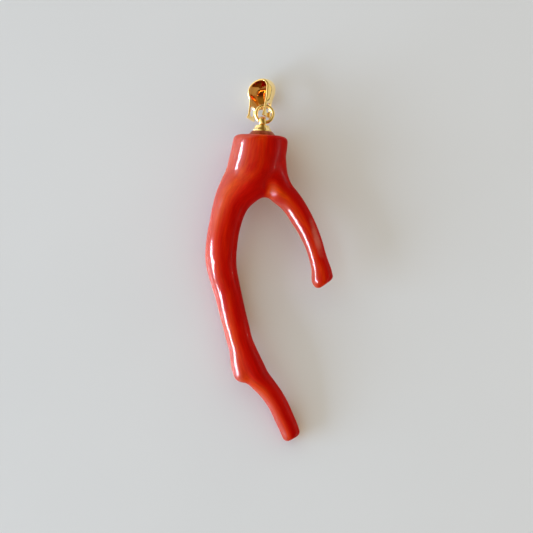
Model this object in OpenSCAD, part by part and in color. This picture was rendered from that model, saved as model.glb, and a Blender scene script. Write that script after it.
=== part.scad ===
// Coral branch pendant: a polished forked twig of coral that lies on its side, with a gold cap,
// jump ring and bail at its thick end. Millimetres. +Y runs from the tip to the bail, +Z is up,
// and z = 0 is the surface that the pendant rests on.

/* [Coral] */
// Length of the twig from its sawn top to its tip
twig_length = 61.5; // [61:0.5:66]
// Thickness of the twig over its width
depth_ratio = 0.96; // [0.9:0.01:1]
// Width of the rounding of the sawn top's edge
top_edge = 1.5; // [0.8:0.1:2]
// Rounding of the edges of the two branch ends
end_edge = 0.8; // [0.3:0.1:1]
// Radius of the hole drilled for the peg
drill_r = 0.75; // [0.7:0.05:1]
// Depth of the hole drilled for the peg
drill_depth = 6.5; // [6:0.5:10]

/* [Gold cap] */
// Radius of the cap's foot, on the coral
cap_foot_r = 1.9; // [1.6:0.05:2.1]
// Radius of the cap's top
cap_top_r = 1.4; // [1.1:0.05:1.5]
// Height of the cap over the coral
cap_h = 1.75; // [1.4:0.05:2.2]
// Radius of the glued peg
peg_r = 0.6; // [0.4:0.05:0.65]
// Length of the glued peg
peg_length = 6; // [4:0.5:6]
// Radius of the hole in the cap's eye
eye_hole_r = 0.55; // [0.5:0.01:0.6]
// Thickness of the metal round the cap's eye
eye_wall = 0.6; // [0.5:0.05:0.7]
// Width of the cap's eye along its hole
eye_w = 1.3; // [0.8:0.1:1.4]

/* [Cement collar] */
// Radius of the collar where it meets the coral
collar_r = 2.6; // [2.4:0.05:3]
// Height of the collar
collar_h = 0.68; // [0.5:0.02:0.9]

/* [Jump ring] */
// Radius of the ring's wire
ring_wire_r = 0.34; // [0.3:0.01:0.36]
// Radius of the ring to the middle of its wire
ring_r = 1.7; // [1.6:0.02:1.9]
// Slope of the ring, down from the cap's eye
ring_sink = 6; // [0:1:15]
// Turn of the ring to the right, about the cap's eye
ring_turn = 11; // [0:1:15]

/* [Bail] */
// Thickness of the bail's metal
bail_t = 0.4; // [0.35:0.05:0.5]
// Width of the slot in each foot
slot_w = 1.4; // [1.35:0.01:1.5]

/* [Hidden] */

gap = 0.05;
smooth = 64;

// Columns of the three tables of the twig's sections: place, then half its width.
X = 0;
Y = 1;
Z = 2;
HALF = 3;

// Trunk and main branch, from the sawn top down to the tip.
main_table = [
    // x, y, z, half width
    [-1.75, 24.15, 6.2, 5.45],
    [-2.0, 22.3, 5.95, 5.5],
    [-2.45, 20.5, 5.7, 5.5],
    [-3.2, 18.6, 5.4, 5.35],
    [-4.35, 16.3, 5.25, 4.85],
    [-6.0, 14.1, 5.2, 4.2],
    [-7.3, 12.1, 5.15, 3.7],
    [-8.2, 9.9, 5.12, 3.4],
    [-8.9, 7.5, 5.05, 3.25],
    [-9.4, 5.1, 4.95, 3.2],
    [-9.7, 2.7, 4.7, 3.2],
    [-9.8, 0.3, 4.2, 3.15],
    [-9.5, -2.1, 3.65, 3],
    [-9.0, -4.5, 3.1, 2.8],
    [-8.3, -7.3, 2.65, 2.65],
    [-7.5, -10.5, 2.8, 2.55],
    [-6.6, -13.7, 3.35, 2.45],
    [-5.8, -16.6, 3.9, 2.5],
    [-4.8, -19.2, 4.1, 2.5],
    [-3.8, -21.4, 4.1, 2.5],
    [-2.25, -23.65, 3.8, 2.25],
    [-0.6, -25.5, 3.4, 2.1],
    [0.8, -27.4, 3.05, 2.05],
    [1.9, -29.5, 2.7, 2],
    [2.8, -31.5, 2.2, 2],
    [3.65, -33.4, 1.95, 1.95],
    [4.25, -35.1, 1.82, 1.85]
];

// Side branch, from inside the trunk to its sawn end.
side_table = [
    // x, y, z, half width
    [-1.25, 20.4, 5.5, 4.75],
    [0.15, 17.2, 5.4, 3.65],
    [1.3, 15.1, 5.45, 2.9],
    [2.3, 13.5, 5.5, 2.7],
    [3.9, 11.9, 5.55, 2.4],
    [5.2, 10.2, 5.6, 2.25],
    [6.4, 8.2, 5.7, 2.2],
    [7.4, 6.4, 5.75, 2.05],
    [8.25, 4.5, 5.8, 1.95],
    [8.95, 2.7, 5.8, 1.85],
    [9.5, 0.8, 5.8, 1.8],
    [10.0, -0.9, 5.8, 1.87],
    [10.35, -2.2, 5.8, 2.03],
    [10.55, -3.9, 5.8, 2.25]
];

// Stub of a third branch, cut off and polished round: the knob on the main branch.
knob_table = [
    // x, y, z, half width
    [-4.8, -17.0, 4.0, 2.2],
    [-5.1, -19.0, 4.0, 2.5],
    [-5.17, -20.7, 4.0, 2.42],
    [-5.05, -22.2, 3.95, 2.35]
];

// Bridge round the arch of the fork, from inside the side branch to inside the main branch.
arch_centre = [-1.0, 9.54];
TURN = 0;
REACH = 1;
HEIGHT = 2;
SPAN = 3;
arch_table = [
    // angle about the arch's centre, distance from it, height, half width
    [5, 6.3, 5.6, 2.1],
    [25, 5.45, 5.5, 2.3],
    [48, 5.2, 5.35, 2.35],
    [70, 5.35, 5.3, 2.5],
    [90, 5.65, 5.25, 2.8],
    [110, 5.95, 5.2, 3.1],
    [137, 6.7, 5.15, 3.65],
    [158, 6.9, 5.1, 3.4],
    [177, 7.2, 5.05, 3.15]
];

// The web that fills the fork above the arch: bars from the main branch to the side branch.
web_bars = 9;
web_main = [3, 4];
web_side = [0.2, 2.3];
web_main_share = [0.85, 0.58];
web_side_share = [0.85, 0.88];

ring_sides = 28;
knob_sides = 20;
rows_between = 2;
edge_steps = 4;
web_facets = 24;

k = twig_length / 61.5;
top_point = [-1.55, 25.05, 5.4];

// Sets the middle of the pendant's box over the origin, and its lowest point on z = 0.
module in_frame() {
    translate([0.119, 0.057, -0.04])
        children();
}

// A table's row at the twig's own scale, with the top held in place.
function scaled(row) = [
    top_point[X] + (row[X] - top_point[X]) * k,
    top_point[Y] + (row[Y] - top_point[Y]) * k,
    row[Z] * k,
    row[HALF] * k
];
function scaled_table(table) = [for (row = table) scaled(row)];

// Smooth curve through the rows of a table.
function clamp_index(i, n) = max(0, min(n - 1, i));
function between(a, b, c, d, t) = 0.5 * (
    2 * b + (c - a) * t + (2 * a - 5 * b + 4 * c - d) * t * t + (3 * b - 3 * c + d - a) * t * t * t);
function at(table, s) =
    let (
        n = len(table),
        i = clamp_index(floor(s), n - 1),
        t = s - i
    )
    between(
        table[clamp_index(i - 1, n)],
        table[i],
        table[clamp_index(i + 1, n)],
        table[clamp_index(i + 2, n)],
        t);
function smooth_rows(table) = [
    for (i = [0:(len(table) - 1) * rows_between])
        at(table, i / rows_between)
];

function place(row) = [row[X], row[Y], row[Z]];
function unit(v) = v / norm(v);

// Rows that round the edge of an end and close it with a flat face. way points out of the end,
// edge is the rounding's length along it and inset its width across it.
function rounded_end(row, way, edge, inset) = [
    for (i = [1:edge_steps])
        let (
            a = 90 * i / edge_steps,
            p = place(row) + unit(way) * edge * sin(a)
        )
        [p[X], p[Y], p[Z], row[HALF] - inset * (1 - cos(a))]
];
function reversed(list) = [for (i = [len(list) - 1:-1:0]) list[i]];

// One ring of a branch, square to the way that the branch runs.
function heading(rows, i) = unit(
    place(rows[min(i + 1, len(rows) - 1)]) - place(rows[max(i - 1, 0)]));
function section(rows, i, sides) =
    let (
        ahead = heading(rows, i),
        across = unit(cross(ahead, [0, 0, 1])),
        up = cross(across, ahead),
        half = rows[i][HALF]
    )
    [
        for (j = [0:sides - 1])
            let (a = 360 * j / sides)
            place(rows[i]) + across * half * cos(a) + up * half * depth_ratio * sin(a)
    ];

// Skin over rings of the same number of points, closed by a face at each end.
module skin(rings) {
    count = len(rings);
    sides = len(rings[0]);
    walls = [
        for (i = [0:count - 2])
            for (j = [0:sides - 1])
                let (
                    a = i * sides + j,
                    b = i * sides + (j + 1) % sides
                )
                each [[a, b, b + sides], [a, b + sides, a + sides]]
    ];
    first = [for (j = [sides - 1:-1:0]) j];
    last = [for (j = [0:sides - 1]) (count - 1) * sides + j];
    polyhedron([for (r = rings) each r], concat(walls, [first, last]), convexity = 6);
}

module branch(rows, sides) {
    skin([for (i = [0:len(rows) - 1]) section(rows, i, sides)]);
}

main_line = scaled_table(main_table);
side_line = scaled_table(side_table);
main_rows = smooth_rows(main_line);
side_rows = smooth_rows(side_line);
knob_rows = smooth_rows(scaled_table(knob_table));

// Ways that the sawn ends face.
top_way = unit([0.055, 1, 0]);
tip_way = [0.5, -0.87, -0.08];
side_end_way = [0.59, -0.81, 0];
knob_end_way = [0.25, -1, -0.05];
knob_edge = 2;

module trunk_and_main_branch() {
    branch(
        concat(
            reversed(rounded_end(main_rows[0], top_way, 0.9, top_edge)),
            main_rows,
            rounded_end(main_rows[len(main_rows) - 1], tip_way, end_edge, end_edge)),
        ring_sides);
}

module side_branch() {
    branch(
        concat(
            side_rows,
            rounded_end(side_rows[len(side_rows) - 1], side_end_way, end_edge, end_edge)),
        ring_sides);
}

module knob() {
    branch(
        concat(
            knob_rows,
            rounded_end(knob_rows[len(knob_rows) - 1], knob_end_way, knob_edge * k, knob_edge * k)),
        knob_sides);
}

module arch_bridge() {
    branch(
        smooth_rows(scaled_table([
            for (row = arch_table)
                [
                    arch_centre[X] + row[REACH] * cos(row[TURN]),
                    arch_centre[Y] + row[REACH] * sin(row[TURN]),
                    row[HEIGHT],
                    row[SPAN]
                ]
        ])),
        ring_sides);
}

function along(ends, t) = ends[0] + (ends[1] - ends[0]) * t;

module web_ball(row, share) {
    translate(place(row))
        scale([1, 1, depth_ratio])
            sphere(row[HALF] * share, $fn = web_facets);
}

module web() {
    for (i = [0:web_bars - 1]) {
        t = i / (web_bars - 1);
        hull() {
            web_ball(at(main_line, along(web_main, t)), along(web_main_share, t));
            web_ball(at(side_line, along(web_side, t)), along(web_side_share, t));
        }
    }
}

// The gold's own frame: its z axis leaves the middle of the sawn top.
module on_top() {
    translate(top_point)
        rotate([-90, 0, -atan2(top_way[X], top_way[Y])])
            children();
}

module coral_branch() {
    color([0.78, 0.16, 0.07])
        in_frame()
            difference() {
                union() {
                    trunk_and_main_branch();
                    side_branch();
                    knob();
                    arch_bridge();
                    web();
                }
                on_top()
                    translate([0, 0, -drill_depth])
                        cylinder(r = drill_r, h = drill_depth + 1, $fn = smooth);
            }
}

module cement_collar() {
    inner = cap_foot_r + gap;
    color([0.45, 0.2, 0.08])
        in_frame()
            on_top()
                rotate_extrude($fn = smooth)
                    polygon([
                        [inner, gap],
                        [collar_r, gap],
                        [collar_r - 0.05, 0.35 * collar_h],
                        [collar_r - 0.25, 0.8 * collar_h],
                        [inner + 0.2, collar_h],
                        [inner, collar_h]
                    ]);
}

eye_mid_r = eye_hole_r + eye_wall / 2;
eye_z = cap_h + eye_hole_r + 0.1;

module cap() {
    color([0.9, 0.68, 0.25])
        in_frame()
            on_top() {
                rotate_extrude($fn = smooth)
                    polygon([
                        [0, -peg_length],
                        [peg_r, -peg_length],
                        [peg_r, gap],
                        [cap_foot_r, gap],
                        [cap_foot_r, collar_h + 0.12],
                        [cap_top_r + 0.12, cap_h - 0.45],
                        [cap_top_r, cap_h],
                        [0, cap_h]
                    ]);
                translate([0, 0, eye_z])
                    rotate([0, 90, 0])
                        rotate_extrude($fn = smooth)
                            translate([eye_mid_r, 0])
                                scale([eye_wall, eye_w])
                                    circle(d = 1, $fn = 32);
            }
}

module jump_ring() {
    color([0.92, 0.7, 0.28])
        in_frame()
            on_top()
                translate([0, 0, eye_z])
                    rotate([-ring_sink, ring_turn, 0])
                        translate([0, 0, ring_r])
                            rotate([90, 0, 0])
                                rotate_extrude($fn = smooth)
                                    translate([ring_r, 0])
                                        circle(r = ring_wire_r, $fn = 32);
}

// The bail's own frame: u runs from the feet to the crown, v from the back leg to the front leg,
// and w along the chain.
bail_origin = top_point + [-0.79, 3.26, -1];
bail_u = unit([0.12, 0.95, -0.28]);
bail_w = unit(cross([0.792, 0.079, 0.607], bail_u));
bail_v = cross(bail_u, bail_w);

// The bail's strip, from the back foot over the crown to the front foot.
V = 0;
U = 1;
HALF_W = 2;
RISE = 3;
MIDDLE = 4;
bail_table = [
    // v, u, half width, rise of the rounded face over its edges, w of its middle
    [-1.85, -0.1, 1.25, 0.05, 0],
    [-1.75, 0.8, 1.1, 0.05, 0],
    [-1.75, 1.8, 1.05, 0.05, 0],
    [-1.8, 2.9, 1.25, 0.1, -0.25],
    [-1.9, 4.0, 1.75, 0.2, -0.65],
    [-2.05, 5.1, 1.82, 0.35, -0.24],
    [-1.7, 6.3, 1.84, 0.4, 0],
    [-0.7, 7.05, 1.95, 0.45, 0],
    [0.6, 7.5, 1.9, 0.45, 0],
    [1.7, 7.35, 1.65, 0.4, 0],
    [2.3, 6.4, 1.4, 0.35, 0],
    [2.35, 5.2, 1.3, 0.25, 0],
    [2.25, 4.1, 1.05, 0.15, 0],
    [2.15, 3.0, 1.05, 0.05, 0],
    [2.1, 2.0, 1.05, 0.05, 0],
    [2.1, 1.0, 1.15, 0.05, 0],
    [2.1, 0.05, 1.4, 0.05, 0]
];
// The slots: place of the middle, and length.
slot_length = 2.2;
slots = [
    // v, u
    [-1.75, 1.6],
    [2.1, 1.9]
];
slot_deep = 2;

bail_rows = [
    for (i = [0:(len(bail_table) - 1) * rows_between])
        at(bail_table, i / rows_between)
];
bail_across = 4;

function bail_section(i) =
    let (
        a = bail_rows[max(i - 1, 0)],
        b = bail_rows[min(i + 1, len(bail_rows) - 1)],
        ahead = unit([b[V] - a[V], b[U] - a[U]]),
        out = [-ahead[1], ahead[0]],
        row = bail_rows[i],
        across = [for (j = [-bail_across:bail_across]) j / bail_across]
    )
    concat(
        [
            for (s = across)
                let (rise = bail_t / 2 + row[RISE] * (1 - s * s))
                [row[V] + out[0] * rise, row[U] + out[1] * rise, row[MIDDLE] + s * row[HALF_W]]
        ],
        [
            for (s = reversed(across))
                let (rise = -bail_t / 2 + row[RISE] * (1 - s * s))
                [row[V] + out[0] * rise, row[U] + out[1] * rise, row[MIDDLE] + s * row[HALF_W]]
        ]);

// Turns the bail's own frame (v, u, w) into the pendant's.
module as_bail_lies() {
    multmatrix([
        for (i = [0:2])
            [bail_v[i], bail_u[i], bail_w[i], bail_origin[i]]
    ])
        children();
}

module slot() {
    reach = (slot_length - slot_w) / 2;
    rotate([0, 90, 0])
        linear_extrude(slot_deep, center = true) {
            square([slot_w, 2 * reach], center = true);
            for (side = [-1, 1])
                translate([0, side * reach])
                    circle(d = slot_w, $fn = 32);
        }
}

module bail() {
    color([0.9, 0.68, 0.25])
        in_frame()
            as_bail_lies()
                difference() {
                    skin(reversed([for (i = [0:len(bail_rows) - 1]) bail_section(i)]));
                    for (s = slots)
                        translate([s[V], s[U], 0])
                            slot();
                }
}

coral_branch();
cement_collar();
cap();
jump_ring();
bail();
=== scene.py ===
# Coral branch pendant, lying on a pale floor and seen from straight above.
# Sizes are a jeweller's millimetres, and MM turns them into metres. +Y runs from the tip to the bail.
import math

import bmesh
import bpy
import numpy as np
from mathutils import Matrix, Vector, noise


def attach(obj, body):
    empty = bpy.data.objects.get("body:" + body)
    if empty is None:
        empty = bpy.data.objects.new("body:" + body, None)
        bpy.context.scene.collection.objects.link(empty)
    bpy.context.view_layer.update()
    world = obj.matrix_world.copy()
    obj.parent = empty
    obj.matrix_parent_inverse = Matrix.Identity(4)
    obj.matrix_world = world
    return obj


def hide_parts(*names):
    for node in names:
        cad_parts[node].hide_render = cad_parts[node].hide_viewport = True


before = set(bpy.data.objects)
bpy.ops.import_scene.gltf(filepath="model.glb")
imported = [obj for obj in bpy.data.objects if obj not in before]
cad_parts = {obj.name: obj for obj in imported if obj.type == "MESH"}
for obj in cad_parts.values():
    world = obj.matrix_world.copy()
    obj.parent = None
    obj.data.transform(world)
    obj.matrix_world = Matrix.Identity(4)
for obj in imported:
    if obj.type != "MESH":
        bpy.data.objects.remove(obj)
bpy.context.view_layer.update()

MM = 0.001

# The floor.
# The pendant lies on a smooth pale floor, matt to the eye and with a fine grain. Seen in the polish of the
# coral and the gold, it has a soft sheen on the window's side. Dark ground lies round it.

FLOOR_EDGES = (-170, -200, 78, 200)
FLOOR_TONE = 0.80
FLOOR_DARKEST = 0.97
FLOOR_LIGHTEST = 1.02
SHEEN_TONE = (0.97, 0.96, 0.93, 1)
SHEEN_ROUGHNESS = 0.42
SHEEN_LEVEL = 1.0
SHEEN_METAL = 0.22
SHEEN_FULL_AT = -12
GROUND_EDGES = (-1500, -1500, 1500, 1500)
GROUND_HEIGHT = -0.4
GROUND_COLOUR = (0.035, 0.02, 0.012, 1)


def add_object(name, mesh):
    made = bpy.data.objects.new(name, mesh)
    bpy.context.scene.collection.objects.link(made)
    return made


def add_flat(name, edges, height):
    """A level rectangle. edges are its least x and y, then its greatest."""
    x0, y0, x1, y1 = edges
    corners = [(x0, y0), (x1, y0), (x1, y1), (x0, y1)]
    mesh = bpy.data.meshes.new(name)
    mesh.from_pydata([(x * MM, y * MM, height * MM) for x, y in corners], [], [(0, 1, 2, 3)])
    return add_object(name, mesh)


def feed(tree, made, inputs):
    """Gives a node its inputs, each of them a plain value or another node's output."""
    for name, value in inputs.items():
        if isinstance(value, bpy.types.NodeSocket):
            tree.links.new(value, made.inputs[name])
        else:
            made.inputs[name].default_value = value


def node(tree, kind, inputs=None, **settings):
    """A shader node with its own settings and its inputs."""
    made = tree.nodes.new("ShaderNode" + kind)
    for name, value in settings.items():
        setattr(made, name, value)
    feed(tree, made, inputs or {})
    return made


def start_material(name):
    """A new material, its node tree and its Principled shader."""
    material = bpy.data.materials.new(name)
    material.use_nodes = True
    tree = material.node_tree
    return material, tree, tree.nodes["Principled BSDF"]


def of_two(tree, operation, one, two):
    """The sum, difference, product or comparison of two numbers."""
    return node(tree, "Math", {0: one, 1: two}, operation=operation).outputs["Value"]


def graded(tree, value, start, end, interpolation_type="SMOOTHSTEP"):
    """Passes from start to end. Each is a value of what is fed in, and the result there."""
    inputs = {"Value": value, "From Min": start[0], "To Min": start[1], "From Max": end[0], "To Max": end[1]}
    return node(tree, "MapRange", inputs, interpolation_type=interpolation_type).outputs["Result"]


def mixed(tree, share, one, other):
    """A colour between two, which turns into the other one as its share grows to 1."""
    return node(tree, "Mix", {"Factor": share, "A": one, "B": other}, data_type="RGBA").outputs["Result"]


def grey(tone):
    return (tone, tone, tone, 1)


floor_paint, tree, shader = start_material("pale_floor")
place = node(tree, "TexCoord").outputs["Object"]
fibre = node(tree, "TexNoise", {"Vector": place, "Scale": 900, "Detail": 5, "Roughness": 0.6})
cloud = node(tree, "TexNoise", {"Vector": place, "Scale": 25, "Detail": 2, "Roughness": 0.5})
grain = node(tree, "Bump", {"Height": fibre.outputs["Fac"], "Strength": 0.12, "Distance": 0.03 * MM})
feed(tree, shader, {
    "Base Color": mixed(
        tree, cloud.outputs["Fac"], grey(FLOOR_TONE * FLOOR_DARKEST), grey(FLOOR_TONE * FLOOR_LIGHTEST)),
    "Normal": grain.outputs["Normal"],
    "Roughness": 0.75,
    "Specular IOR Level": 0.0})
across_floor = node(tree, "SeparateXYZ", {"Vector": place}).outputs["X"]
sheen_share = graded(tree, across_floor, (SHEEN_FULL_AT * MM, SHEEN_LEVEL), (0, 0), "LINEAR")
sheen = node(tree, "BsdfPrincipled", {
    "Base Color": SHEEN_TONE,
    "Roughness": SHEEN_ROUGHNESS,
    "Specular IOR Level": sheen_share,
    "Metallic": of_two(tree, "MULTIPLY", sheen_share, SHEEN_METAL)})
seen_as = node(tree, "MixShader", {
    "Fac": node(tree, "LightPath").outputs["Is Glossy Ray"],
    1: shader.outputs["BSDF"],
    2: sheen.outputs["BSDF"]})
feed(tree, tree.nodes["Material Output"], {"Surface": seen_as.outputs["Shader"]})
floor = add_flat("floor", FLOOR_EDGES, 0)
floor.data.materials.append(floor_paint)

ground_paint, tree, shader = start_material("dark_ground")
feed(tree, shader, {"Base Color": GROUND_COLOUR, "Roughness": 0.6, "Specular IOR Level": 0.0})
ground = add_flat("ground", GROUND_EDGES, GROUND_HEIGHT)
ground.data.materials.append(ground_paint)

# The window.
# Daylight comes through a low window on the left. The sky in it is brightest along one stretch, which the
# polish shows as a narrow white line, and a narrow strip of light on the right gives a faint one there.

WINDOW_AWAY = 900
WINDOW_TURN = math.radians(194)
WINDOW_W = 700
WINDOW_H = 410
WINDOW_SILL = 70
WINDOW_COLOUR = (0.573, 0.755, 1.0)
WINDOW_POWER = 8.25
GLARE_ENDS = ((-1450, 125), (-420, -305))
GLARE_SILL = 100
GLARE_H = 300
GLARE_COLOUR = (0.85, 0.80, 1.0)
GLARE_POWER = 215.0
GLINT_ENDS = ((850, -700), (900, 600))
GLINT_SILL = 5
GLINT_H = 80
GLINT_COLOUR = (1, 0.95, 0.85)
GLINT_POWER = 14.0


def add_window_light(name, ends, sill, height, power, colour):
    """An upright window between two places, which lights what lies on the left of the way between them."""
    one, two = (np.array(end, float) for end in ends)
    along = two - one
    light = bpy.data.lights.new(name, "AREA")
    light.shape = "RECTANGLE"
    light.size = np.linalg.norm(along) * MM
    light.size_y = height * MM
    light.energy = power
    light.color = colour
    made = add_object(name, light)
    made.location = Vector((*(one + two) / 2, sill + height / 2)) * MM
    made.rotation_euler = (math.radians(90), 0, math.atan2(along[1], along[0]))
    made.visible_camera = False
    return made


def not_yet_scattered(tree, ray):
    """1 for light that has met nothing matt on its way, and 0 for the rest."""
    return of_two(tree, "LESS_THAN", ray.outputs["Diffuse Depth"], 0.5)


middle = WINDOW_AWAY * np.array((math.cos(WINDOW_TURN), math.sin(WINDOW_TURN)))
half_way = WINDOW_W / 2 * np.array((-math.sin(WINDOW_TURN), math.cos(WINDOW_TURN)))
add_window_light(
    "window", (middle - half_way, middle + half_way), WINDOW_SILL, WINDOW_H, WINDOW_POWER, WINDOW_COLOUR)
glare = add_window_light("glare", GLARE_ENDS, GLARE_SILL, GLARE_H, GLARE_POWER, GLARE_COLOUR)
glint = add_window_light("glint", GLINT_ENDS, GLINT_SILL, GLINT_H, GLINT_POWER, GLINT_COLOUR)
for made in (glare, glint):
    # Only the polish shows it. It leaves no bright flecks on the floor.
    made.visible_diffuse = False
    made.data.use_nodes = True
    tree = made.data.node_tree
    feed(tree, tree.nodes["Emission"], {"Strength": not_yet_scattered(tree, node(tree, "LightPath"))})

# The room.
# Soft light comes from the window's side, and warm light from above and below the picture. What the polish
# mirrors is given by itself: a warm pale wall on the window's side and the dark room behind it.

SOFT_LIGHT = [
    # the way that it comes from, and its colour
    ((-1, 0, 0), (0.33, 0.465, 0.76)),
    ((0, 1, 0), (0.905, 0.845, 0.65)),
    ((0, -1, 0), (0.765, 0.61, 0.335)),
    ((1, 0, 0), (0.11, 0.105, 0.095)),
]
SOFT_LIGHT_FROM = -0.1
SOFT_LIGHT_FULL = 0.7
WALL_TURN = math.radians(195)
MIRRORED_STRENGTH = 1.6
MIRRORED_ROOM = [
    # how far a way in the room points at the wall, from -1 to 1, and the colour seen that way
    (-1.0, (0.50, 0.45, 0.31)),
    (-0.80, (0.42, 0.37, 0.24)),
    (-0.50, (0.11, 0.07, 0.02)),
    (-0.25, (0.12, 0.08, 0.02)),
    (0.0, (0.20, 0.15, 0.06)),
    (0.30, (0.58, 0.53, 0.37)),
    (0.62, (0.82, 0.78, 0.62)),
    (0.86, (1.0, 1.0, 0.94)),
    (1.0, (1.0, 1.0, 0.94)),
]
BACKDROP_COLOUR = (0.62, 0.63, 0.63, 1)

world = bpy.data.worlds.new("room")
bpy.context.scene.world = world
world.use_nodes = True
tree = world.node_tree


def vector_of(tree, operation, one, two):
    """The sum, difference or product of two colours or two places."""
    return node(tree, "VectorMath", {0: one, 1: two}, operation=operation).outputs["Vector"]


def times(tree, vector, number):
    return node(tree, "VectorMath", {0: vector, "Scale": number}, operation="SCALE").outputs["Vector"]


def toward(tree, vector, way):
    """How far a vector reaches one way."""
    return node(tree, "VectorMath", {0: vector, 1: way}, operation="DOT_PRODUCT").outputs["Value"]


def ramp_of(tree, value, stops):
    """The colour at a value from 0 to 1, out of a few places and their colours."""
    made = node(tree, "ValToRGB", {"Fac": value})
    elements = made.color_ramp.elements
    while len(elements) < len(stops):
        elements.new(0.5)
    for element, (place, tone) in zip(elements, stops):
        element.position = place
        element.color = (*tone, 1)
    return made.outputs["Color"]


looking = node(tree, "TexCoord").outputs["Generated"]
soft_light = (0, 0, 0)
for way, tone in SOFT_LIGHT:
    share = graded(tree, toward(tree, looking, way), (SOFT_LIGHT_FROM, 0), (SOFT_LIGHT_FULL, 1))
    soft_light = vector_of(tree, "ADD", soft_light, times(tree, tone, share))
at_wall = toward(tree, looking, (math.cos(WALL_TURN), math.sin(WALL_TURN), 0))
mirrored = ramp_of(
    tree,
    graded(tree, at_wall, (-1, 0), (1, 1), "LINEAR"),
    [((way + 1) / 2, tone) for way, tone in MIRRORED_ROOM])
ray = node(tree, "LightPath")
mirrors = of_two(tree, "MULTIPLY", not_yet_scattered(tree, ray), ray.outputs["Is Glossy Ray"])
lit = mixed(tree, mirrors, soft_light, times(tree, mirrored, MIRRORED_STRENGTH))
feed(tree, tree.nodes["Background"], {
    "Color": mixed(tree, ray.outputs["Is Camera Ray"], lit, BACKDROP_COLOUR)})

# The camera.
# It hangs over the pendant and looks straight down, far enough away that the pendant's sides hardly show.

CAMERA_AT = (-0.5, -1.33, 420)
CAMERA_LENS = 140.15
CAMERA_NEAR = 10

camera_data = bpy.data.cameras.new("camera")
camera_data.lens = CAMERA_LENS
camera_data.sensor_width = 36
camera_data.clip_start = CAMERA_NEAR * MM
camera = add_object("camera", camera_data)
camera.location = Vector(CAMERA_AT) * MM
bpy.context.scene.camera = camera
bpy.context.scene.view_settings.view_transform = "Standard"

# The coral branch.
# One forked twig of red coral, ground smooth and polished until it shines. Its thick top and the ends
# of its branches are sawn off with their edges rounded, and a blind hole in the top takes the cap's peg.

X, Y, Z, HALF = range(4)
# The branches and their spots, the collar and the bail move by this much into the shared frame.
IN_FRAME = np.array([0.119, 0.057, -0.04])
DEPTH_RATIO = 0.96
MAIN_BRANCH = [
    # x, y, z, half width
    (-1.76, 23.87, 6.35, 5.45),
    (-2.0, 22.3, 6.08, 5.5),
    (-2.43, 20.5, 5.73, 5.48),
    (-3.17, 18.6, 5.44, 5.32),
    (-4.35, 16.3, 5.28, 4.85),
    (-6.0, 14.1, 5.22, 4.2),
    (-7.3, 12.1, 5.12, 3.7),
    (-8.16, 9.9, 5.0, 3.36),
    (-8.83, 7.5, 4.88, 3.2),
    (-9.33, 5.1, 4.84, 3.17),
    (-9.63, 2.7, 4.76, 3.17),
    (-9.77, 0.3, 4.36, 3.15),
    (-9.5, -2.1, 3.72, 3),
    (-8.95, -4.5, 3.1, 2.84),
    (-8.24, -7.3, 2.68, 2.7),
    (-7.48, -10.5, 2.8, 2.65),
    (-6.65, -13.7, 3.35, 2.62),
    (-5.9, -16.6, 3.9, 2.6),
    (-4.72, -19.2, 4.1, 2.6),
    (-3.66, -21.4, 4.1, 2.6),
    (-2.35, -23.65, 3.8, 2.35),
    (-0.78, -25.5, 3.4, 2.15),
    (0.68, -27.4, 3.05, 2.06),
    (1.9, -29.5, 2.7, 2),
    (2.8, -31.5, 2.2, 2),
    (3.65, -33.4, 1.95, 1.95),
    (4.38, -35.3, 1.84, 1.88),
]
SIDE_BRANCH = [
    # x, y, z, half width
    (-1.25, 20.4, 5.5, 4.75),
    (0.15, 17.2, 5.4, 3.65),
    (1.3, 15.1, 5.45, 2.9),
    (2.3, 13.5, 5.5, 2.7),
    (3.9, 11.9, 5.55, 2.4),
    (5.2, 10.2, 5.6, 2.25),
    (6.4, 8.2, 5.7, 2.2),
    (7.4, 6.4, 5.75, 2.05),
    (8.25, 4.5, 5.8, 1.95),
    (8.95, 2.7, 5.8, 1.85),
    (9.5, 0.8, 5.8, 1.8),
    (10.0, -0.9, 5.8, 1.87),
    (10.35, -2.2, 5.8, 2.03),
    (10.55, -3.9, 5.8, 2.25),
]
KNOB = [
    # x, y, z, half width
    (-6.37, -14.8, 3.62, 2.58),
    (-5.84, -17.0, 3.92, 2.52),
    (-5.52, -19.0, 4.0, 2.47),
    (-5.42, -20.8, 4.0, 2.44),
    (-5.0, -22.6, 3.95, 2.36),
]
KNOB_FILL = [
    # x, y, z, half width of a bar between the knob and the main branch
    (-4.8, -22.7, 3.95, 1.9),
    (-3.35, -23.3, 3.9, 2.0),
]
ARCH_CENTRE = (-1.0, 9.54)
ARCH = [
    # angle about the arch's centre, distance from it, height, half width
    (5, 6.3, 5.6, 2.1),
    (25, 5.45, 5.5, 2.3),
    (48, 5.2, 5.35, 2.35),
    (70, 5.35, 5.3, 2.5),
    (90, 5.65, 5.25, 2.8),
    (110, 5.95, 5.2, 3.1),
    (137, 6.7, 5.15, 3.65),
    (158, 6.9, 5.1, 3.4),
    (177, 7.2, 5.05, 3.15),
]
WEB = [
    # the places in the branches' tables that a bar of the web joins, and its share of each one's half width
    (3 + t, 0.2 + 2.1 * t, 0.85 - 0.27 * t, 0.85 + 0.03 * t) for t in np.linspace(0, 1, 9)]
TOP_POINT = (-1.55, 25.05, 5.4)
TOP_WAY = (0.055, 1, 0)
TOP_EDGE = (0.9, 1.5)
TIP_WAY = (0.5, -0.87, -0.08)
TIP_EDGE = (0.8, 0.8)
SIDE_END_WAY = (0.59, -0.81, 0)
SIDE_END_EDGE = (1.2, 0.95)
KNOB_END_WAY = (0.25, -1, -0.05)
KNOB_EDGE = (2, 2)
DRILL_R = 0.75
DRILL_DEPTH = 6.5
VOXEL = 0.2
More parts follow.
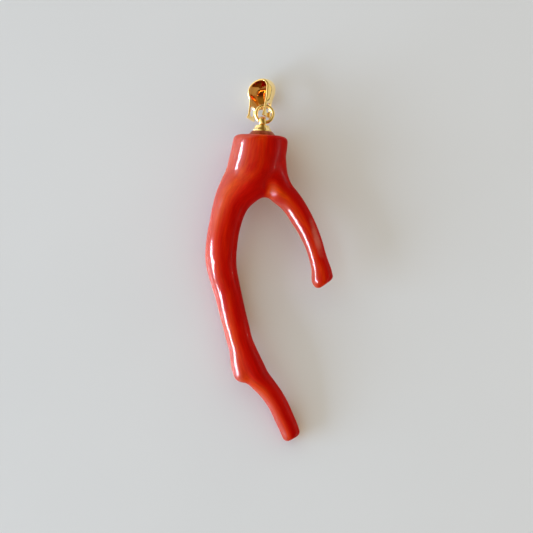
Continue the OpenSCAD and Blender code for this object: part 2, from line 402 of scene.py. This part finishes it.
SMOOTHED = [
    # the middle and the reach of each place where the branches blend into each other
    ((-1.5, 14.5, 5.2), 8.5),
    ((-2.9, 18.5, 5.6), 7.5),
    ((-4.6, -20.0, 4.0), 4.5),
]
SMOOTHING = 0.12
MORE_SMOOTHING = 0.5
SMOOTHING_FADE = 1.6
SMOOTHING_ROUNDS = 60
SWELLINGS = [
    # x and y of its middle, its reach, and its height, below 0 for a hollow
    (2.1, 13.2, 1.1, 0.2),
    (0.2, 14.5, 1.1, -0.22),
]
SWELLINGS_FROM_Z = 5.2
WAVE = 0.027
WAVE_LENGTH = 3.4


def unit(way):
    way = np.asarray(way, float)
    return way / np.linalg.norm(way)


def smooth_rows(table, between):
    """More rows, on a smooth curve through a table's own rows."""
    table = np.asarray(table, float)
    last = len(table) - 1
    rows = []
    for i in range(last):
        a, b, c, d = (table[min(max(i + step, 0), last)] for step in (-1, 0, 1, 2))
        for t in np.arange(between) / between:
            rows.append(0.5 * (2 * b + (c - a) * t + (2 * a - 5 * b + 4 * c - d) * t ** 2
                               + (3 * b - 3 * c + d - a) * t ** 3))
    rows.append(table[last])
    return np.array(rows)


def row_at(table, place):
    """The row at a place counted in the table's rows, such as 2.3."""
    return smooth_rows(table, 10)[int(round(place * 10))]


def headings(rows):
    """The way a branch runs at each row, and the two ways across it."""
    points = rows[:, :HALF]
    ahead = np.array([
        unit(points[min(i + 1, len(points) - 1)] - points[max(i - 1, 0)]) for i in range(len(points))])
    across = np.array([unit(np.cross(a, (0, 0, 1))) for a in ahead])
    return ahead, across, np.cross(across, ahead)


def rounded_end(row, way, edge, steps=6):
    """Rows that round the edge of a sawn end. way points out of it. edge is its length and its width."""
    rows = []
    for a in np.linspace(0, math.pi / 2, steps + 1)[1:]:
        point = row[:HALF] + unit(way) * edge[0] * math.sin(a)
        rows.append((*point, row[HALF] - edge[1] * (1 - math.cos(a))))
    return np.array(rows)


def ring_of(row, across, up, sides):
    turns = np.arange(sides) / sides * 2 * math.pi
    return (row[:HALF]
            + np.outer(np.cos(turns) * row[HALF], across)
            + np.outer(np.sin(turns) * row[HALF] * DEPTH_RATIO, up))


def add_rings(bm, rings, round_again=False):
    """Skins a list of rings of points, then joins the last one to the first or closes both ends."""
    loops = [[bm.verts.new(p) for p in ring] for ring in rings]
    following = loops[1:] + loops[:1] if round_again else loops[1:]
    for one, two in zip(loops, following):
        for j in range(len(one)):
            k = (j + 1) % len(one)
            bm.faces.new((one[j], one[k], two[k], two[j]))
    if not round_again:
        bm.faces.new(loops[0][::-1])
        bm.faces.new(loops[-1])


def add_branch(bm, rows, sides=72):
    _, across, up = headings(rows)
    add_rings(bm, [ring_of(*parts, sides) for parts in zip(rows, across, up)])


def mesh_from(bm, name, shift=(0, 0, 0)):
    """Moves finished work to its place and turns it from millimetres into a mesh in metres."""
    bmesh.ops.recalc_face_normals(bm, faces=bm.faces)
    bmesh.ops.translate(bm, verts=bm.verts, vec=Vector(shift))
    bmesh.ops.scale(bm, verts=bm.verts, vec=(MM, MM, MM))
    mesh = bpy.data.meshes.new(name)
    bm.to_mesh(mesh)
    bm.free()
    return mesh


def applied(obj):
    """The object's mesh with its modifiers in it."""
    bpy.context.view_layer.update()
    seen_by = bpy.context.evaluated_depsgraph_get()
    return bpy.data.meshes.new_from_object(obj.evaluated_get(seen_by))


def cut_away(obj, tool_mesh):
    """Takes a tool's shape out of an object, and puts the tool away."""
    tool = add_object("cutting_tool", tool_mesh)
    cut = obj.modifiers.new("cut", "BOOLEAN")
    cut.operation = "DIFFERENCE"
    cut.object = tool
    cut_mesh = applied(obj)
    obj.modifiers.clear()
    obj.data = cut_mesh
    bpy.data.objects.remove(tool)


def read_points(mesh, what="co"):
    """Each point's place, or its normal, as the mesh has it."""
    flat = np.zeros(len(mesh.vertices) * 3)
    mesh.vertices.foreach_get(what, flat)
    return flat.reshape(-1, 3)


def move_points(mesh, points):
    mesh.vertices.foreach_set("co", points.ravel())
    mesh.update()


def relaxed(points, edges, share, rounds):
    """Moves each point towards the middle of its neighbours by its own share, round after round."""
    count = len(points)
    starts = np.concatenate([edges[:, 0], edges[:, 1]])
    ends = np.concatenate([edges[:, 1], edges[:, 0]])
    neighbours = np.bincount(starts, minlength=count)
    for _ in range(rounds):
        middle = np.stack([
            np.bincount(starts, weights=points[ends, axis], minlength=count) for axis in range(3)], 1)
        points = points + (middle / neighbours[:, None] - points) * share[:, None]
    return points


def shade_smooth(mesh):
    mesh.polygons.foreach_set("use_smooth", [True] * len(mesh.polygons))


def top_frame():
    """The gold's own frame: z leaves the middle of the sawn top."""
    lean = -math.atan2(TOP_WAY[X], TOP_WAY[Y])
    return (Matrix.Translation(Vector(IN_FRAME) + Vector(TOP_POINT))
            @ Matrix.Rotation(lean, 4, "Z") @ Matrix.Rotation(-math.pi / 2, 4, "X"))


main_rows = smooth_rows(MAIN_BRANCH, 6)
side_rows = smooth_rows(SIDE_BRANCH, 6)
knob_rows = smooth_rows(KNOB, 6)
arch_rows = smooth_rows([
    (ARCH_CENTRE[X] + reach * math.cos(math.radians(turn)),
     ARCH_CENTRE[Y] + reach * math.sin(math.radians(turn)),
     height, half_width)
    for turn, reach, height, half_width in ARCH], 6)

bm = bmesh.new()
add_branch(bm, np.concatenate([
    rounded_end(main_rows[0], TOP_WAY, TOP_EDGE)[::-1],
    main_rows,
    rounded_end(main_rows[-1], TIP_WAY, TIP_EDGE)]))
add_branch(bm, np.concatenate([side_rows, rounded_end(side_rows[-1], SIDE_END_WAY, SIDE_END_EDGE)]))
add_branch(bm, np.concatenate([knob_rows, rounded_end(knob_rows[-1], KNOB_END_WAY, KNOB_EDGE)]))
add_branch(bm, np.array(KNOB_FILL))
add_branch(bm, arch_rows)
for on_main, on_side, main_share, side_share in WEB:
    add_branch(bm, np.array([
        row_at(MAIN_BRANCH, on_main) * (1, 1, 1, main_share),
        row_at(SIDE_BRANCH, on_side) * (1, 1, 1, side_share)]))

rough = add_object("coral_rough", mesh_from(bm, "coral_rough", IN_FRAME))
fuse = rough.modifiers.new("fuse", "REMESH")
fuse.mode = "VOXEL"
fuse.voxel_size = VOXEL * MM
coral_mesh = applied(rough)
bpy.data.objects.remove(rough)

edges = np.zeros(len(coral_mesh.edges) * 2, int)
coral_mesh.edges.foreach_get("vertices", edges)
points = read_points(coral_mesh)
nearness = np.min([np.linalg.norm(points / MM - at, axis=1) / reach for at, reach in SMOOTHED], axis=0)
share = SMOOTHING + MORE_SMOOTHING * np.clip(SMOOTHING_FADE * (1 - nearness), 0, 1)
points = relaxed(points, edges.reshape(-1, 2), share, SMOOTHING_ROUNDS)
move_points(coral_mesh, points)

swell = WAVE * np.array([noise.noise(Vector(p / MM / WAVE_LENGTH)) for p in points])
for x, y, reach, height in SWELLINGS:
    away = np.linalg.norm(points[:, :2] / MM - (x, y), axis=1) / reach
    swell = swell + height * np.exp(-away ** 2) * np.clip(points[:, 2] / MM - SWELLINGS_FROM_Z, 0, 1)
points = points + read_points(coral_mesh, "normal") * (swell * MM)[:, None]
points[:, 2] = np.maximum(points[:, 2], 0)
move_points(coral_mesh, points)

coral = add_object("polished_coral", coral_mesh)
bm = bmesh.new()
bmesh.ops.create_cone(
    bm, cap_ends=True, segments=64, radius1=DRILL_R, radius2=DRILL_R, depth=DRILL_DEPTH * 2,
    matrix=top_frame())
cut_away(coral, mesh_from(bm, "drill"))
shade_smooth(coral.data)

# Its colour follows its growth, so every point of its surface carries its place on its branch.
GROWTH_STARTS = [
    # a branch's rows, and where its growth lines begin
    (main_rows, 0.0),
    (side_rows, 4.2),
    (knob_rows, 42.0),
]
BRANCHES_BLEND = 0.9
# Painted shade: how much further round the right side's painted shade reaches below the fork.
SHADE_REACH = 0.3
SHADE_DEEPER_FROM = 19.5
SHADE_DEEPER_FADE = 5
SHADE_PLACES = [
    # where along the main branch the painted shade is drawn to one place round the side, how far, which
    # place, and how much of it
    (3.9, 6.0, 0.3, 0.85),
    (-7.5, 3.0, -0.1, 0.35),
]


def place_on(rows, start, points):
    """Each point's place across, over and along a branch, how far round its side, and how far off it."""
    ahead, across, up = headings(rows)
    steps = np.linalg.norm(np.diff(rows[:, :HALF], axis=0), axis=1)
    run = start + np.concatenate([[0], np.cumsum(steps)])
    nearest = np.zeros(len(points), int)
    best = np.full(len(points), np.inf)
    for i, row in enumerate(rows):
        away = np.linalg.norm(points - row[:HALF], axis=1)
        closer = away < best
        nearest[closer] = i
        best[closer] = away[closer]
    offset = points - rows[nearest, :HALF]
    across_it = (offset * across[nearest]).sum(1)
    place = np.stack([
        across_it, (offset * up[nearest]).sum(1), run[nearest] + (offset * ahead[nearest]).sum(1)], 1)
    return place, -across_it / rows[nearest, HALF], best - rows[nearest, HALF]


def store(mesh, name, kind, values):
    """Keeps a number or a vector at every point, for the material to read."""
    field = {"FLOAT": "value", "FLOAT_VECTOR": "vector"}[kind]
    mesh.attributes.new(name, kind, "POINT").data.foreach_set(field, values.astype(np.float32).ravel())


points = read_points(coral.data) / MM - IN_FRAME
places, flanks, gaps = zip(*[place_on(rows, start, points) for rows, start in GROWTH_STARTS])
weights = np.exp(-np.array(gaps) / BRANCHES_BLEND)
weights = weights / weights.sum(0)
flank = (weights * np.array(flanks)).sum(0)
# Painted shade: the right side, away from the window, is painted a deeper red. Below the fork this painted
# shade reaches further round the main branch.
below_fork = (1 - weights[1]) * np.clip((SHADE_DEEPER_FROM - points[:, Y]) / SHADE_DEEPER_FADE, 0, 1)
light_to_shade = flank + SHADE_REACH * below_fork
for y, reach, wanted, share in SHADE_PLACES:
    near = share * below_fork * np.exp(-((points[:, Y] - y) / reach) ** 2)
    light_to_shade = light_to_shade + near * (wanted - light_to_shade)
store(coral.data, "growth", "FLOAT_VECTOR", (weights[:, :, None] * np.array(places)).sum(0))
store(coral.data, "flank", "FLOAT", flank)
store(coral.data, "light_to_shade", "FLOAT", light_to_shade)

# The coral's finish: soft bands and fine lines along the growth, painted light and shade that makes the
# window's side more orange and the right side deeper red, a painted reflection that pales the far left side
# and the sawn top's edge, painted shade in the crook of the fork, and a thin gloss.
BAND_SCALE = (0.42, 0.42, 0.075)
BAND_TONES = [(0.36, (0.58, 0.006, 0.0005)), (0.5, (0.66, 0.022, 0.001)), (0.66, (0.74, 0.046, 0.002))]
LINE_SCALE = (2.6, 2.6, 0.16)
# At two values of the lines' noise, how light they make the colour.
LINE_DARKEST = (0.3, 0.86)
LINE_LIGHTEST = (0.7, 1.1)
PAINTED_LIGHT_AND_SHADE_BY = [
    # how far round to the right, from 0 to 1, and what the colour is multiplied by there: painted light on
    # the window's side, painted shade on the right
    (0.15, (0.80, 1.3, 1.2)),
    (0.36, (0.92, 1.5, 1.2)),
    (0.5, (0.97, 1.4, 1.05)),
    (0.58, (0.92, 0.95, 0.7)),
    (0.66, (0.87, 0.3, 0.25)),
    (0.74, (0.78, 0.09, 0.13)),
]
# The sawn top's rounded edge is paler too, a painted reflection of the bright room.
SAWN_EDGE = (23.6, 24.8)
SAWN_EDGE_REFLECTION = 0.5
PAINTED_REFLECTION_TONE = (0.72, 0.17, 0.115, 1)
# A painted reflection makes the far left side paler from the first of these places round it to the second.
PALE_FROM = -0.35
PALE_TO = -0.8
PALE_SHARE = 0.4
# At two places round the side, from -1 to 1, how strong the gloss is.
GLOSS_LEFT = (0.1, 0.15)
GLOSS_RIGHT = (0.6, 0.025)
SPOTS = [
    # its middle, the way that it runs, its half length and half width, its share, and its colour
    ((9.3, 4.2, 6.9), (0.27, -0.96), (3.2, 0.6), 0.42, (0.85, 0.3, 0.22)),
    ((-8.98, 8.9, 6.6), (0, 1), (0.14, 0.11), 0.7, (0.9, 0.55, 0.35)),
    # painted shade in the crook of the fork, where little light reaches under the arch
    ((2.0, 12.0, 6.5), (0.75, -0.66), (1.6, 0.75), 0.75, (0.50, 0.006, 0.003)),
]
SPOT_DEPTH = 8
SPOT_ENDS = 1.95
SPOT_FULL = 0.7
RIPPLES_AT = (0.6, 13.2, 6.6)
RIPPLES_ACROSS = (0.545, 0.838, 0)
RIPPLES_REACH = 2.2
RIPPLE_LENGTH = 0.8
RIPPLE_HEIGHT = 0.016


def away_from(tree, middle):
    """The way to a point of the surface from a place on the piece."""
    here = node(tree, "TexCoord").outputs["Object"]
    return vector_of(tree, "SUBTRACT", here, (np.array(middle) + IN_FRAME) * MM)


def length_of(tree, vector):
    return node(tree, "VectorMath", {0: vector}, operation="LENGTH").outputs["Value"]


def with_spot(tree, colour, middle, along, size, share, tone):
    """A colour with a soft ragged spot mixed into it. size is its half length and half width."""
    turned = node(tree, "VectorRotate", {
        "Vector": away_from(tree, middle), "Angle": -math.atan2(along[1], along[0])}, rotation_type="Z_AXIS")
    sized = vector_of(tree, "MULTIPLY", turned.outputs["Vector"], [
        1 / (size[0] * MM), 1 / (size[1] * MM), 1 / (size[1] * MM * SPOT_DEPTH)])
    ragged = node(tree, "TexNoise", {
        "Vector": node(tree, "TexCoord").outputs["Object"], "Scale": 700, "Detail": 3}).outputs["Fac"]
    out = of_two(tree, "ADD", length_of(tree, sized), ragged)
    return mixed(tree, graded(tree, out, (SPOT_ENDS, 0), (SPOT_FULL, share)), colour, (*tone, 1))


coral_finish, tree, shader = start_material("polished_red_coral")
growth = node(tree, "Attribute", attribute_name="growth").outputs["Vector"]
flank = node(tree, "Attribute", attribute_name="flank").outputs["Fac"]
painted_shading = node(tree, "Attribute", attribute_name="light_to_shade").outputs["Fac"]
bands = node(tree, "TexNoise", {
    "Vector": vector_of(tree, "MULTIPLY", growth, BAND_SCALE),
    "Scale": 1, "Detail": 4, "Roughness": 0.55, "Distortion": 0.3})
fine_lines = node(tree, "TexNoise", {
    "Vector": vector_of(tree, "MULTIPLY", growth, LINE_SCALE), "Scale": 1, "Detail": 3, "Roughness": 0.6})
colour = vector_of(
    tree, "MULTIPLY",
    ramp_of(tree, bands.outputs["Fac"], BAND_TONES),
    graded(tree, fine_lines.outputs["Fac"], LINE_DARKEST, LINE_LIGHTEST, "LINEAR"))
# Painted light and shade round each branch: more orange towards the window, deeper red on the right.
to_right = graded(tree, painted_shading, (-1, 0), (1, 1), "LINEAR")
colour = vector_of(tree, "MULTIPLY", colour, ramp_of(tree, to_right, PAINTED_LIGHT_AND_SHADE_BY))
up_twig = node(tree, "SeparateXYZ", {"Vector": node(tree, "TexCoord").outputs["Object"]}).outputs["Y"]
# Painted reflection: paler down the far left side and along the sawn top's edge.
sawn = graded(tree, up_twig, (SAWN_EDGE[0] * MM, 0), (SAWN_EDGE[1] * MM, SAWN_EDGE_REFLECTION))
painted_reflection = graded(tree, of_two(tree, "SUBTRACT", flank, sawn), (PALE_FROM, 0), (PALE_TO, PALE_SHARE))
colour = mixed(tree, painted_reflection, colour, PAINTED_REFLECTION_TONE)
for spot in SPOTS:
    colour = with_spot(tree, colour, *spot)

# A few low waves that the grinding left at the fork break up the highlight there.
off_ripples = away_from(tree, RIPPLES_AT)
wave_way = tuple(unit(RIPPLES_ACROSS) * 2 * math.pi / (RIPPLE_LENGTH * MM))
wave = node(tree, "Math", {0: toward(tree, off_ripples, wave_way)}, operation="COSINE").outputs["Value"]
wave_share = graded(tree, length_of(tree, off_ripples), (RIPPLES_REACH * MM, 0), (0, 1))
rippled = node(tree, "Bump", {
    "Height": of_two(tree, "MULTIPLY", wave, wave_share), "Distance": RIPPLE_HEIGHT * MM}).outputs["Normal"]
feed(tree, shader, {
    "Base Color": colour,
    "Roughness": 0.38,
    "Specular IOR Level": 0.012,
    "Subsurface Weight": 0.25,
    "Subsurface Radius": (1.0, 0.25, 0.1),
    "Subsurface Scale": 0.8 * MM,
    "Coat Weight": graded(tree, flank, GLOSS_LEFT, GLOSS_RIGHT),
    "Coat Roughness": 0.03,
    "Coat IOR": 1.46,
    "Normal": rippled,
    "Coat Normal": rippled})
coral.data.materials.clear()
coral.data.materials.append(coral_finish)
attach(coral, "root")
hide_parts("coral_branch")

# The glare and the glint show in the coral's polish and in the floor's. They would burn out the gold.
shown_in = bpy.data.collections.new("shows_the_glare")
for piece in (coral, floor):
    shown_in.objects.link(piece)
for light in (glare, glint):
    light.light_linking.receiver_collection = shown_in

# The cement collar.
# A ring of clear brown cement was squeezed out round the foot of the cap and has set hard.

COLLAR = [
    # distance from the peg's middle, height over the top's middle
    (1.95, -0.24),
    (2.64, -0.24),
    (2.6, -0.06),
    (2.46, 0.16),
    (2.26, 0.4),
    (2.1, 0.56),
    (1.95, 0.62),
]
COLLAR_WAVES = 3
COLLAR_WAVE = 0.03
WAVY_FROM = 2
COLLAR_STEPS = 96
COLLAR_SHARP = math.radians(50)
CEMENT_TONES = [(0.35, (0.22, 0.022, 0.004)), (0.7, (0.5, 0.12, 0.035))]


def collar_ring(turn):
    """The collar's outline at one turn round the peg. Its outer edge waves a little in and out."""
    wave = COLLAR_WAVE * math.sin(COLLAR_WAVES * turn + 1)
    ring = []
    for far, height in COLLAR:
        if far > WAVY_FROM:
            far = far + wave
        ring.append(top_frame() @ Vector((far * math.cos(turn), far * math.sin(turn), height)))
    return ring


turns = np.arange(COLLAR_STEPS) / COLLAR_STEPS * 2 * math.pi
bm = bmesh.new()
add_rings(bm, [collar_ring(turn) for turn in turns], round_again=True)
collar = add_object("hard_cement_ring", mesh_from(bm, "cement_ring"))
shade_smooth(collar.data)
collar.data.set_sharp_from_angle(angle=COLLAR_SHARP)

cement_finish, tree, shader = start_material("clear_brown_cement")
clouded = node(tree, "TexNoise", {
    "Vector": node(tree, "TexCoord").outputs["Object"], "Scale": 900, "Detail": 4, "Roughness": 0.6})
feed(tree, shader, {
    "Base Color": ramp_of(tree, clouded.outputs["Fac"], CEMENT_TONES),
    "Roughness": 0.3,
    "Specular IOR Level": 0.1,
    "Subsurface Weight": 0.4,
    "Subsurface Radius": (1.0, 0.4, 0.2),
    "Subsurface Scale": 0.5 * MM,
    "Coat Weight": 0.15,
    "Coat Roughness": 0.12})
collar.data.materials.append(cement_finish)
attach(collar, "root")
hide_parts("cement_collar")

# The gold cap.
# An eighteen karat gold cone with an eye soldered on top. Its peg is cemented into the coral.

GOLD_TONE = (1.0, 0.76, 0.35, 1)
# The bail's inside is painted a deeper tone, as shade inside the loop.
GOLD_SHADED_INSIDE_TONE = (0.74, 0.37, 0.085, 1)
CORAL_REFLECTION_PATCH = [
    # a painted dark red reflection of the coral inside the bail, given as the coral's spots are
    (-1.75, 33.45, 0.8), (1, 0), (0.9, 0.75), 0.95, (0.22, 0.015, 0.01)]


def finish_node(name, material):
    """Gives a piece of the frame its finish, without touching its shape."""
    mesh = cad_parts[name].data
    mesh.materials.clear()
    mesh.materials.append(material)


# Painted shade on the gold's inside faces, and a painted reflection of the coral inside the bail.
gold_finish, tree, shader = start_material("polished_gold")
inside = node(tree, "Attribute", attribute_name="inner_side").outputs["Fac"]
wear = node(tree, "TexNoise", {
    "Vector": node(tree, "TexCoord").outputs["Object"], "Scale": 1500, "Detail": 3})
scuffs = node(tree, "Bump", {"Height": wear.outputs["Fac"], "Strength": 0.08, "Distance": 0.02 * MM})
feed(tree, shader, {
    "Base Color": mixed(tree, inside, GOLD_TONE, with_spot(tree, GOLD_SHADED_INSIDE_TONE, *CORAL_REFLECTION_PATCH)),
    "Metallic": 1.0,
    "Roughness": 0.06,
    "Normal": scuffs.outputs["Normal"]})
finish_node("cap", gold_finish)

# The jump ring.
# Round gold wire bent into a ring through the cap's eye and the slot in the bail's front foot.

finish_node("jump_ring", gold_finish)

# The bail.
# A strip of gold sheet, domed across its crown and bent into a loop with two flared and slotted feet.
# The chain runs through the loop, and the pendant hangs from the jump ring in the front foot.

BAIL_AT = np.array(TOP_POINT) + (-0.79, 3.26, -1)
BAIL_UP = unit((0.12, 0.95, -0.28))
BAIL_CHAIN_WAY = unit(np.cross((0.792, 0.079, 0.607), BAIL_UP))
BAIL_ACROSS = np.cross(BAIL_UP, BAIL_CHAIN_WAY)
BAIL_THICK = 0.4
BAIL_LOWEST = 0.06
BAIL_SHARP = math.radians(40)
BAIL = [
    # across, up, half width, rise of the rounded face over its edges, place of its middle along the chain
    (-1.85, -0.1, 1.25, 0.05, 0),
    (-1.75, 0.8, 1.1, 0.05, 0),
    (-1.75, 1.8, 1.05, 0.05, 0),
    (-1.8, 2.9, 1.75, 0.1, -0.75),
    (-1.9, 4.0, 2.95, 0.2, -1.85),
    (-2.05, 5.1, 3.0, 0.35, -1.42),
    (-1.7, 6.3, 2.6, 0.4, -0.76),
    (-0.7, 7.05, 2.2, 0.45, -0.25),
    (0.6, 7.5, 1.9, 0.45, 0),
    (1.7, 7.35, 1.65, 0.4, 0),
    (2.3, 6.4, 1.4, 0.35, 0),
    (2.35, 5.2, 1.3, 0.25, 0),
    (2.25, 4.1, 1.05, 0.15, 0),
    (2.15, 3.0, 1.05, 0.05, 0),
    (2.1, 2.0, 1.05, 0.05, 0),
    (2.1, 1.0, 1.15, 0.05, 0),
    (2.1, 0.05, 1.4, 0.05, 0),
]
SLOTS = [
    # across and up of each slot's middle
    (-1.75, 1.6),
    (2.1, 1.9),
]
SLOT_LENGTH = 2.2
SLOT_W = 1.4
SLOT_STEPS = 17
PUNCH_REACH = 1
# Across and up of the loop's own middle, and how directly a point has to face it to be on the inside.
LOOP_MIDDLE = (0.2, 4.3)
FACES_IN = 0.5


def on_bail(across, up, along):
    """A place, counted across the bail, up it and along the chain."""
    return BAIL_AT + BAIL_ACROSS * across + BAIL_UP * up + BAIL_CHAIN_WAY * along


def bail_ring(rows, i, across_steps=12, rim_steps=4):
    """One closed line round the strip, with its rims rounded."""
    before, row, after = rows[max(i - 1, 0)], rows[i], rows[min(i + 1, len(rows) - 1)]
    half_width, rounding, middle = row[2:]
    ahead = unit((after - before)[:2])
    out = np.array([-ahead[1], ahead[0]])
    thin = BAIL_THICK / 2
    flat = half_width - thin
    line = [(flat * s, thin) for s in np.linspace(-1, 1, across_steps)]
    line += [(flat + thin * math.sin(a), thin * math.cos(a))
             for a in np.linspace(0, math.pi, rim_steps + 2)[1:-1]]
    line += [(-along, -off) for along, off in line]
    ring = []
    for along, off in line:
        rise = off + rounding * (1 - (along / half_width) ** 2)
        across, up = row[:2] + out * rise
        point = on_bail(across, up, middle + along)
        # Its lower edge rests on the floor.
        point[Z] = max(point[Z], BAIL_LOWEST + thin - off)
        ring.append(point)
    return ring


bail_rows = smooth_rows(BAIL, 8)
bm = bmesh.new()
add_rings(bm, [bail_ring(bail_rows, i) for i in range(len(bail_rows))])
bail = add_object("polished_bail", mesh_from(bm, "bail_strip", IN_FRAME))

bm = bmesh.new()
half_round = SLOT_W / 2
straight = SLOT_LENGTH / 2 - half_round
outline = [
    (straight + half_round * math.cos(a), half_round * math.sin(a))
    for a in np.linspace(-math.pi / 2, math.pi / 2, SLOT_STEPS)]
outline += [(-x, -y) for x, y in outline]
for across, up in SLOTS:
    add_rings(bm, [
        [on_bail(across + side, up + x, y) for x, y in outline] for side in (-PUNCH_REACH, PUNCH_REACH)])
cut_away(bail, mesh_from(bm, "slot_punch", IN_FRAME))
shade_smooth(bail.data)
bail.data.set_sharp_from_angle(angle=BAIL_SHARP)

# Its inside is painted a deeper tone than its outside, as shade inside the loop, so every point carries
# which way it faces.
inward = on_bail(*LOOP_MIDDLE, 0) + IN_FRAME - read_points(bail.data) / MM
inward = inward - np.outer(inward @ BAIL_CHAIN_WAY, BAIL_CHAIN_WAY)
inward = inward / np.linalg.norm(inward, axis=1)[:, None]
store(bail.data, "inner_side", "FLOAT", (read_points(bail.data, "normal") * inward).sum(1) > FACES_IN)
bail.data.materials.clear()
bail.data.materials.append(gold_finish)
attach(bail, "root")
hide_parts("bail")
